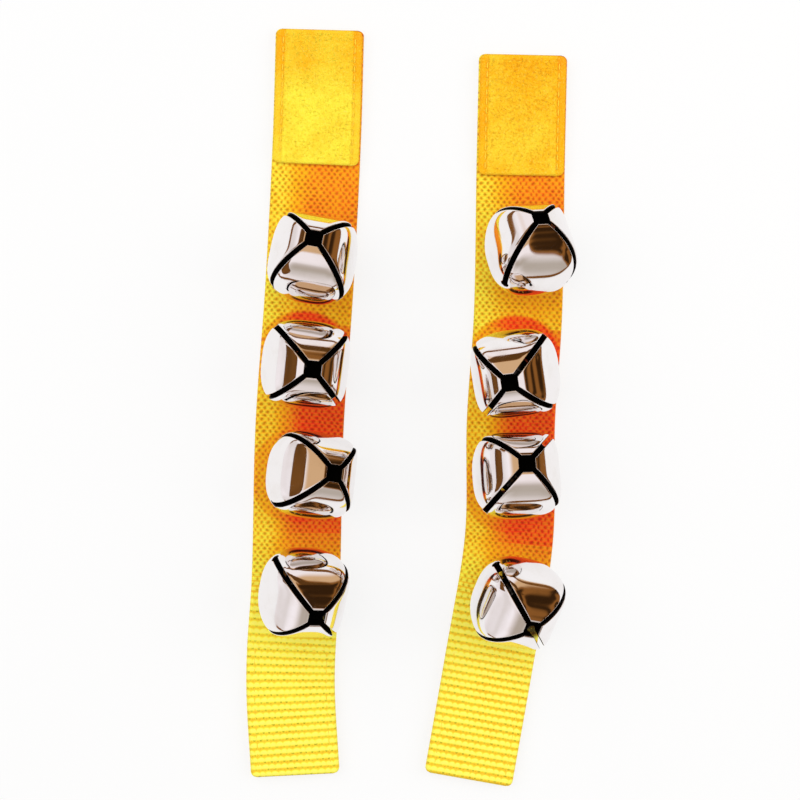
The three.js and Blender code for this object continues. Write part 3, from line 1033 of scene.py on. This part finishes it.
class WRISTBELLS_OT_hook_patches(bpy.types.Operator):
    """Make the hook patches on the back of the tails"""

    bl_idname = "wrist_bells.hook_patches"
    bl_label = "Hook patches"

    columns = 36
    rows = 54
    hook_height = 0.55 * MM
    hook_step = 1.15 * MM
    hook_wire = 0.09 * MM
    side_margin = 1.5 * MM
    first_hook = 2 * MM
    last_hook = 2.4 * MM

    def execute(self, context):
        for lay in lays(context):
            self.tape(lay, lay.sizes)
            self.hooks(lay, lay.sizes)
        return {"FINISHED"}

    def tape(self, lay, sizes):
        node = f"{lay.side}_hook_patch"
        width = sizes.width - 2 * sizes.patch_inset
        end = lay.length - sizes.patch_inset
        thickness = sizes.patch_thickness - self.hook_height
        obj = flat_band(f"{node}_tape", lay, lay.hook_start, end, width, thickness, self.columns, self.rows)
        lay_down(obj, lay, lambda along: np.full(len(along), self.hook_height + thickness / 2))
        smooth(obj)
        dress(obj, f"{lay.side}_strap", "hook_pile", [node], "Hook tape")

    def hooks(self, lay, sizes):
        """Rows of small bent hooks that point down from the tape."""
        hook = wire_ring("hook", self.hook_height / 2, self.hook_wire, segments=10, sides=5)
        half = sizes.width / 2 - sizes.patch_inset - self.side_margin
        lines = np.arange(-half, half, self.hook_step)
        steps = np.arange(lay.hook_start + self.first_hook, lay.length - self.last_hook, self.hook_step)
        across, along = (grid.ravel() for grid in np.meshgrid(lines, steps))
        spots = lay.line.place(across, along, np.full(len(across), self.hook_height / 2 + self.hook_wire))
        places = [Matrix.Translation(spot) @ Matrix.Rotation(math.pi / 2, 4, "Y") for spot in spots]
        obj = scattered(f"{lay.side}_hook_patch_hooks", hook, places)
        smooth(obj)
        dress(obj, f"{lay.side}_strap", "hook_pile", [], "Hook tape")


class WRISTBELLS_OT_stitching(bpy.types.Operator):
    """Sew the patches on with a seam along their edges"""

    bl_idname = "wrist_bells.stitching"
    bl_label = "Stitching"

    loop_sink = 0.26 * MM
    hook_sink = 0.16 * MM
    flatness = 0.8

    def execute(self, context):
        sizes = context.scene.strap_sizes
        top = patch_top(sizes)
        for lay in lays(context):
            end = lay.length - sizes.patch_inset
            self.seam(lay, sizes, "loop", sizes.patch_inset, lay.loop_end, top - self.loop_sink)
            self.seam(lay, sizes, "hook", lay.hook_start, end, top - self.hook_sink)
        return {"FINISHED"}

    def seam(self, lay, sizes, patch, begin, end, level):
        half = sizes.width / 2 - sizes.patch_inset - sizes.stitch_inset
        begin += sizes.stitch_inset
        end -= sizes.stitch_inset
        spots = []
        for across in (-half, half):
            for along in np.arange(begin + sizes.stitch_step / 2, end, sizes.stitch_step):
                spots.append((across, along, 0.0))
        for along in (begin, end):
            for across in np.arange(-half + sizes.stitch_step / 2, half, sizes.stitch_step):
                spots.append((across, along, math.pi / 2))
        spots = np.array(spots)
        stitch = start("stitch", bpy.ops.mesh.primitive_uv_sphere_add, segments=8, ring_count=6, radius=0.5)
        size = (sizes.stitch_width, sizes.stitch_length, sizes.stitch_width * self.flatness)
        bpy.ops.transform.resize(value=size)
        bpy.ops.object.transform_apply(location=False, rotation=False, scale=True)
        centres = lay.line.place(spots[:, 0], spots[:, 1], np.full(len(spots), level))
        ahead = lay.line.place(spots[:, 0], spots[:, 1] + MM, np.full(len(spots), level)) - centres
        headings = np.arctan2(-ahead[:, 0], ahead[:, 1])
        places = [
            Matrix.Translation(centre) @ Matrix.Rotation(heading + turn, 4, "Z")
            for centre, heading, turn in zip(centres, headings, spots[:, 2])
        ]
        obj = scattered(f"{lay.side}_{patch}_seam", stitch, places)
        smooth(obj)
        dress(obj, f"{lay.side}_strap", "thread", [], "Thread")


class WRISTBELLS_OT_ties(bpy.types.Operator):
    """Tie each bell's shank to the webbing with loops of thread"""

    bl_idname = "wrist_bells.ties"
    bl_label = "Thread ties"

    strands = (-0.5 * MM, 0.0, 0.5 * MM)
    squareness = 0.45
    floor = 0.15 * MM

    def execute(self, context):
        for side, number, _ in every_bell():
            self.tie(side, number, context.scene.strap_sizes)
        return {"FINISHED"}

    def tie(self, side, number, sizes):
        node = f"{side}_tie_{number}"
        eye = eye_of(side, number)
        half_span = (sizes.tie_span - sizes.tie_thread) / 2
        low = self.floor + sizes.tie_thread / 2
        half_rise = (eye.z - low) / 2
        upright = (math.pi / 2, 0, 0)
        ring = wire_ring("strand", 1, sizes.tie_thread / 2, segments=40, sides=10, rotation=upright)
        bpy.ops.object.transform_apply(location=False, rotation=True, scale=False)
        points = points_of(ring)
        angle = np.arctan2(points[:, 2], points[:, 0])
        out = np.hypot(points[:, 0], points[:, 2]) - 1
        side_way = np.sign(np.cos(angle)) * np.abs(np.cos(angle)) ** self.squareness
        up_way = np.sign(np.sin(angle)) * np.abs(np.sin(angle)) ** self.squareness
        points[:, 0] = half_span * side_way + out * np.cos(angle)
        points[:, 2] = half_rise * up_way + out * np.sin(angle)
        move_points(ring, points)
        centre = Vector((eye.x, eye.y, low + half_rise))
        places = [Matrix.Translation(centre + Vector((0, strand, 0))) for strand in self.strands]
        obj = scattered(f"{node}_thread", ring, places)
        smooth(obj)
        dress(obj, f"{side}_strap", "thread", [node], "Thread")


# Bells


class WRISTBELLS_OT_shells(bpy.types.Operator):
    """Draw one slotted petal shell and copy it to every bell"""

    bl_idname = "wrist_bells.shells"
    bl_label = "Bell shells"

    columns = 22
    cup_rows = 16
    end_rows = 8
    petal_rows = 22
    base_squareness = 2.0
    rim_squareness = 2.8
    mouth_squareness = 8.0
    plated_facing = 0.45
    rounded_from = 50
    sharp_from = 60

    def execute(self, context):
        sizes = context.scene.bell_sizes
        shell = self.shell(sizes)
        foot = Matrix.Translation((0, 0, sizes.base_gap - foot_height(sizes)))
        for side, number, bell in every_bell():
            twist = math.radians(STRAPS[side]["twists"][number - 1])
            turned = foot @ Matrix.Rotation(twist, 4, "Z")
            obj = copied(shell, f"{bell}_plated", bell_frame(bell) @ turned)
            dress(obj, f"{bell}_shell", "bell_plate", [f"{bell}_shell"])
        bpy.data.objects.remove(shell)
        return {"FINISHED"}

    def rows(self, sizes):
        """Angles up the shell's side and half the slot's width at each, from the base hole to the mouth."""
        hole = -math.acos(sizes.base_hole / sizes.half_width)
        slot = math.asin(sizes.slot_end_height / sizes.cup_depth - 1)
        mouth = math.acos(sizes.mouth_half / sizes.half_width)
        cup = [(angle, 0.0) for angle in np.linspace(hole, slot, self.cup_rows + 1)]
        turn = sizes.slot_end_width / sizes.half_width
        end = []
        for share in np.linspace(0, 1, self.end_rows + 1)[1:]:
            half = sizes.slot_end_width / 2 * math.sqrt(1 - (1 - 2 * share) ** 2)
            end.append((slot + turn * share, max(half, sizes.slot_width / 2) if share > 0.5 else half))
        petal_angles = np.linspace(slot + turn, mouth, self.petal_rows + 1)[1:]
        petal = [(angle, sizes.slot_width / 2) for angle in petal_angles]
        return np.array(cup + end + petal), (hole, slot, mouth)

    def quarter(self, sizes):
        """One petal with its quarter of the cup."""
        rows, (hole, slot, mouth) = self.rows(sizes)
        last = len(rows) - 1
        obj = flat_grid("shell", self.columns, last)
        share = points_of(obj)
        row = np.rint((share[:, 1] + 1) / 2 * last).astype(int)
        angle, half = rows[row].T
        radius = sizes.half_width * np.cos(angle)
        rise = np.where(angle < 0, sizes.cup_depth, sizes.petal_height)
        height = sizes.cup_depth + rise * np.sin(angle)
        rim_gain = self.rim_squareness - self.base_squareness
        mouth_gain = self.mouth_squareness - self.rim_squareness
        power = self.base_squareness + rim_gain * smoothstep(hole, slot, angle)
        power += mouth_gain * smoothstep(slot, mouth, angle)

        def plan(turn):
            return (np.abs(np.cos(turn)) ** power + np.abs(np.sin(turn)) ** power) ** (-1 / power)

        edge = np.arcsin(half / (radius * plan(math.pi / 4)))
        turn = share[:, 0] * (math.pi / 4 - edge)
        reach = radius * plan(turn)
        move_points(obj, np.column_stack([reach * np.cos(turn), reach * np.sin(turn), height]))
        return obj

    def shell(self, sizes):
        """Four quarters joined under the slots, given a wall and rounded edges."""
        obj = self.quarter(sizes)
        only(obj)
        bpy.ops.object.mode_set(mode="EDIT")
        bpy.ops.mesh.select_all(action="SELECT")
        for _ in range(3):
            bpy.ops.mesh.duplicate()
            bpy.ops.transform.rotate(value=math.pi / 2, orient_axis="Z", center_override=(0, 0, 0))
        bpy.ops.mesh.select_all(action="SELECT")
        bpy.ops.mesh.remove_doubles(threshold=1e-6)
        bpy.ops.object.mode_set(mode="OBJECT")
        paint(obj, "Nickel plate", "Bell inside shade")
        apply_modifier(obj, "SOLIDIFY", thickness=sizes.wall, offset=-1, use_even_offset=True)
        rounding = {"segments": 3, "limit_method": "ANGLE", "angle_limit": math.radians(self.rounded_from)}
        apply_modifier(obj, "BEVEL", width=sizes.edge_round, **rounding)
        self.plate(obj, sizes)
        smooth(obj, self.sharp_from)
        return obj

    def plate(self, obj, sizes):
        """Plates the faces that look outwards and gives the cut edges and the inside a near-black painted
        shade.
        """
        facing = np.empty(len(obj.data.polygons) * 3)
        obj.data.polygons.foreach_get("normal", facing)
        centres = np.empty(len(obj.data.polygons) * 3)
        obj.data.polygons.foreach_get("center", centres)
        outward = centres.reshape(-1, 3) - (0, 0, sizes.cup_depth)
        rise = np.where(outward[:, 2] < 0, sizes.cup_depth, sizes.petal_height)
        outward[:, 2] *= (sizes.half_width / rise) ** 2
        outward /= np.linalg.norm(outward, axis=1)[:, None]
        inside_and_edge_shade = np.sum(facing.reshape(-1, 3) * outward, axis=1) < self.plated_facing
        obj.data.polygons.foreach_set("material_index", inside_and_edge_shade.astype(np.int32))


def foot_height(sizes):
    """Height of a shank's feet over its eye."""
    return sizes.base_gap + sizes.wall + sizes.shank_clearance + sizes.wire / 2


class WRISTBELLS_OT_shanks(bpy.types.Operator):
    """Bend one wire shank and copy it to every bell"""

    bl_idname = "wrist_bells.shanks"
    bl_label = "Wire shanks"

    ring_points = 14
    bend_below = 0.9
    bend_beside = 0.5
    sharp_from = 50

    def execute(self, context):
        shank = self.shank(context.scene.bell_sizes)
        for _, _, bell in every_bell():
            obj = copied(shank, f"{bell}_shank_wire", shank_frame(bell))
            dress(obj, f"{bell}_shank", "wire", [f"{bell}_shank"])
        bpy.data.objects.remove(shank)
        return {"FINISHED"}

    def shank(self, sizes):
        feet = foot_height(sizes)
        gap = math.asin(sizes.leg_spread / sizes.eye_radius)
        curl = sizes.foot_reach**2 / (2 * (sizes.half_width - sizes.wall))
        ring = [
            (0, sizes.eye_radius * math.sin(turn), -sizes.eye_radius * math.cos(turn))
            for turn in np.linspace(gap - math.pi, math.pi - gap, self.ring_points)
        ]
        leg = [
            (sizes.leg_spread, feet - sizes.wire * self.bend_below),
            (sizes.leg_spread + sizes.wire * self.bend_beside, feet),
            (sizes.foot_reach, feet + curl),
        ]
        path = [(0, -y, z) for y, z in reversed(leg)] + ring + [(0, y, z) for y, z in leg]
        obj = start("shank", bpy.ops.curve.primitive_bezier_curve_add)
        curve = obj.data
        curve.splines.clear()
        spline = curve.splines.new("BEZIER")
        spline.bezier_points.add(len(path) - 1)
        for point, place in zip(spline.bezier_points, path):
            point.co = place
            point.handle_left_type = "AUTO"
            point.handle_right_type = "AUTO"
        curve.dimensions = "3D"
        curve.resolution_u = 5
        curve.bevel_depth = sizes.wire / 2
        curve.bevel_resolution = 4
        curve.use_fill_caps = True
        bpy.ops.object.convert(target="MESH")
        obj = bpy.context.object
        paint(obj, "Plain steel")
        smooth(obj, self.sharp_from)
        return obj


class WRISTBELLS_OT_pellets(bpy.types.Operator):
    """Put a loose pellet in every bell"""

    bl_idname = "wrist_bells.pellets"
    bl_label = "Pellets"

    dent_scale = 420
    dent_depth = 0.015

    def execute(self, context):
        for _, number, bell in every_bell():
            self.pellet(bell, number)
        return {"FINISHED"}

    def pellet(self, bell, seed):
        low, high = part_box(f"{bell}_pellet")
        radius = max(high - low) / 2
        ball = {"subdivisions": 4, "radius": radius}
        obj = start(f"{bell}_pellet_ball", bpy.ops.mesh.primitive_ico_sphere_add, **ball)
        points = points_of(obj)
        apart = Vector((seed, 0, 0))
        dents = np.array([noise.noise(Vector(p) * self.dent_scale + apart) for p in points])
        worn = 1 - self.dent_depth + self.dent_depth * dents
        move_points(obj, points * worn[:, None] + np.array((low + high) / 2))
        smooth(obj)
        dress(obj, f"{bell}_pellet", "pellet", [f"{bell}_pellet"], "Plain steel")


# Stage


class WRISTBELLS_OT_stage(bpy.types.Operator):
    """Set the camera straight above, a pale floor, two soft lamps and a room for the metal to mirror"""

    bl_idname = "wrist_bells.stage"
    bl_label = "Stage"

    tent_radius = 2
    key_place = (-0.4, 0.25, 0.75)
    key_size = 1.0
    fill_place = (0.55, 0.1, 0.5)
    fill_size = 0.6
    lamp_colour = (1.0, 0.97, 0.94)
    floor_size = 6
    floor_drop = 0.3 * MM
    floor_glow = 0.8
    rail_place = (-75 * MM, -5 * MM, 70 * MM)
    rail_radius = 19 * MM
    rail_length = 66 * MM

    def execute(self, context):
        stage = context.scene.stage_sizes
        colours = context.scene.colours
        context.scene.view_settings.view_transform = "Standard"
        self.camera(context.scene, stage, Lay("left", context.scene.strap_sizes))
        self.floor(colours)
        self.world(context.scene, stage)
        self.tent(colours)
        self.rail(colours)
        self.lamp("key", self.key_place, self.key_size, stage.key_power)
        self.lamp("fill", self.fill_place, self.fill_size, stage.fill_power)
        return {"FINISHED"}

    def camera(self, scene, stage, lay):
        data = bpy.data.cameras.new("camera")
        data.lens = data.sensor_width * stage.camera_height / stage.picture_width
        data.clip_start = 0.01
        camera = bpy.data.objects.new("camera", data)
        camera.location = (*lay.centre, stage.camera_height + lay.sizes.thickness)
        scene.collection.objects.link(camera)
        scene.camera = camera

    def in_view(self, tree):
        """1 for rays that the camera follows straight, off a mirror or through glass."""
        path = add(tree, "ShaderNodeLightPath").outputs
        rays = ("Is Camera Ray", "Is Glossy Ray", "Is Transmission Ray")
        straight, mirrored, through = (Signal(tree, path[ray]) for ray in rays)
        return straight.most(mirrored).most(through)

    def floor(self, colours):
        place = (0, 0, -self.floor_drop)
        floor = start("floor", bpy.ops.mesh.primitive_plane_add, size=self.floor_size, location=place)
        material, tree, shader = new_material("Floor")
        feed(tree, shader, {"Base Color": opaque(colours.floor), "Roughness": 0.9})
        shaded = Signal(tree, shader.outputs[0])
        white = signal(tree, "ShaderNodeEmission", {"Color": WHITE, "Strength": 1.0})
        share = self.floor_glow * self.in_view(tree)
        blend = signal(tree, "ShaderNodeMixShader", {0: share, 1: shaded, 2: white})
        feed(tree, tree.nodes["Material Output"], {"Surface": blend})
        floor.data.materials.append(material)

    def world(self, scene, stage):
        world = bpy.data.worlds.new("Soft room")
        world.use_nodes = True
        tree = world.node_tree
        strength = stage.sky + (1.0 - stage.sky) * self.in_view(tree)
        feed(tree, tree.nodes["Background"], {"Color": WHITE, "Strength": strength})
        scene.world = world

    def tent(self, colours):
        """A tent round the table that glows only in mirrors: painted reflections of pale and dark cloth."""
        ball = {"segments": 32, "ring_count": 16, "radius": self.tent_radius}
        tent = start("tent", bpy.ops.mesh.primitive_uv_sphere_add, **ball)
        material, tree, _ = new_material("Tent")
        self.only_mirrored(tent, material, self.room(tree, colours))

    def rail(self, colours):
        """A brown rail beside the left strap that glows only in mirrors: a painted reflection."""
        rail = start(
            "rail",
            bpy.ops.mesh.primitive_cylinder_add,
            radius=self.rail_radius,
            depth=self.rail_length,
            location=self.rail_place,
            rotation=(math.pi / 2, 0, 0),
        )
        material, tree, _ = new_material("Rail")
        stain = noise_value(object_place(tree), 40.0, 2.0)
        self.only_mirrored(rail, material, stain.mix(opaque(colours.room), opaque(colours.wood)))

    def only_mirrored(self, obj, material, colour):
        """Makes a piece of the stage glow in mirrors, and out of the picture, the light and the shadows."""
        tree = material.node_tree
        glow = signal(tree, "ShaderNodeEmission", {"Color": colour, "Strength": 1.0})
        feed(tree, tree.nodes["Material Output"], {"Surface": glow})
        obj.data.materials.append(material)
        obj.visible_camera = False
        obj.visible_diffuse = False
        obj.visible_transmission = False
        obj.visible_shadow = False

    def room(self, tree, colours):
        """Painted reflections of a warm ceiling, windows on the left and below, grey dusk, and dark furniture
        all round.
        """
        away = signal(tree, "ShaderNodeVectorMath", {0: object_place(tree)}, operation="NORMALIZE")
        x, y, z = parts(away)
        sway = noise_value(away, 2.2, 1.0) - 0.5
        level = z + 0.3 * sway
        along = abs(y)
        sky = x.ease(-0.35, -0.6).mix(opaque(colours.ceiling), opaque(colours.window))
        pale = 0.9 * y.ease(0.8, 0.9).most(y.ease(0.02, -0.12))
        sky = pale.mix(sky, opaque(colours.window))
        low = abs(y + 0.74 + 0.25 * sway).ease(0.34, 0.02) * x.ease(-0.55, -0.2)
        aside = 0.4 * abs(x + 0.8 + 0.4 * sway).ease(0.24, 0.02)
        sky = low.most(aside).mix(sky, opaque(colours.haze))
        streaks = 0.78 + 0.22 * (26.0 * x + 14.0 * sway).math("SINE")
        right = (x + 0.3 * y).ease(0.38, 0.5) * along.ease(0.75, 0.6) * streaks
        ahead = self.band(level, 0.52, 0.13) * y.ease(0.35, 0.5)
        behind = self.band(level, 0.74, 0.15) * y.ease(-0.3, -0.42)
        horizon = self.band(level, 0.06, 0.06) * along.ease(0.4, 0.6)
        gloom = right.most(0.85 * ahead).most(0.14 * behind).most(0.75 * horizon)
        wooden = gloom.ease(0.05, 0.55).mix(sky, opaque(colours.wood))
        return gloom.ease(0.6, 1.0).mix(wooden, opaque(colours.room))

    def band(self, value, level, width):
        """1 near a level and 0 beyond its width."""
        return abs(value - level).ease(width, width * 0.6)

    def lamp(self, name, place, size, power):
        data = bpy.data.lights.new(name, "AREA")
        data.size = size
        data.energy = power
        data.color = self.lamp_colour
        lamp = bpy.data.objects.new(name, data)
        lamp.location = place
        lamp.visible_glossy = False
        lamp.rotation_euler = (-Vector(place)).to_track_quat("-Z", "Y").to_euler()
        bpy.context.scene.collection.objects.link(lamp)


OPERATORS = (
    WRISTBELLS_OT_finishes,
    WRISTBELLS_OT_stage,
    WRISTBELLS_OT_hook_patches,
    WRISTBELLS_OT_webbing,
    WRISTBELLS_OT_loop_patches,
    WRISTBELLS_OT_stitching,
    WRISTBELLS_OT_ties,
    WRISTBELLS_OT_shells,
    WRISTBELLS_OT_shanks,
    WRISTBELLS_OT_pellets,
)


class WRISTBELLS_PT_panel(bpy.types.Panel):
    """Sizes, colours and steps of the wrist bells"""

    bl_idname = "WRISTBELLS_PT_panel"
    bl_label = "Wrist Bells"
    bl_space_type = "VIEW_3D"
    bl_region_type = "UI"
    bl_category = "Wrist Bells"

    def draw(self, context):
        for group in GROUPS:
            box = self.layout.box()
            for name in GROUPS[group].__annotations__:
                box.prop(getattr(context.scene, group), name)
        for operator in OPERATORS:
            self.layout.operator(operator.bl_idname)


GROUPS = {"strap_sizes": StrapSizes, "bell_sizes": BellSizes, "colours": Colours, "stage_sizes": StageSizes}


def register():
    for group, kind in GROUPS.items():
        bpy.utils.register_class(kind)
        setattr(bpy.types.Scene, group, bpy.props.PointerProperty(type=kind))
    for kind in (*OPERATORS, WRISTBELLS_PT_panel):
        bpy.utils.register_class(kind)


def unregister():
    for kind in (WRISTBELLS_PT_panel, *reversed(OPERATORS)):
        bpy.utils.unregister_class(kind)
    for group, kind in GROUPS.items():
        delattr(bpy.types.Scene, group)
        bpy.utils.unregister_class(kind)


def main():
    register()
    bpy.ops.wrist_bells.finishes()
    bpy.ops.wrist_bells.stage()
    bpy.ops.wrist_bells.hook_patches()
    bpy.ops.wrist_bells.webbing()
    bpy.ops.wrist_bells.loop_patches()
    bpy.ops.wrist_bells.stitching()
    bpy.ops.wrist_bells.ties()
    bpy.ops.wrist_bells.shells()
    bpy.ops.wrist_bells.shanks()
    bpy.ops.wrist_bells.pellets()


if __name__ == "__main__":
    main()
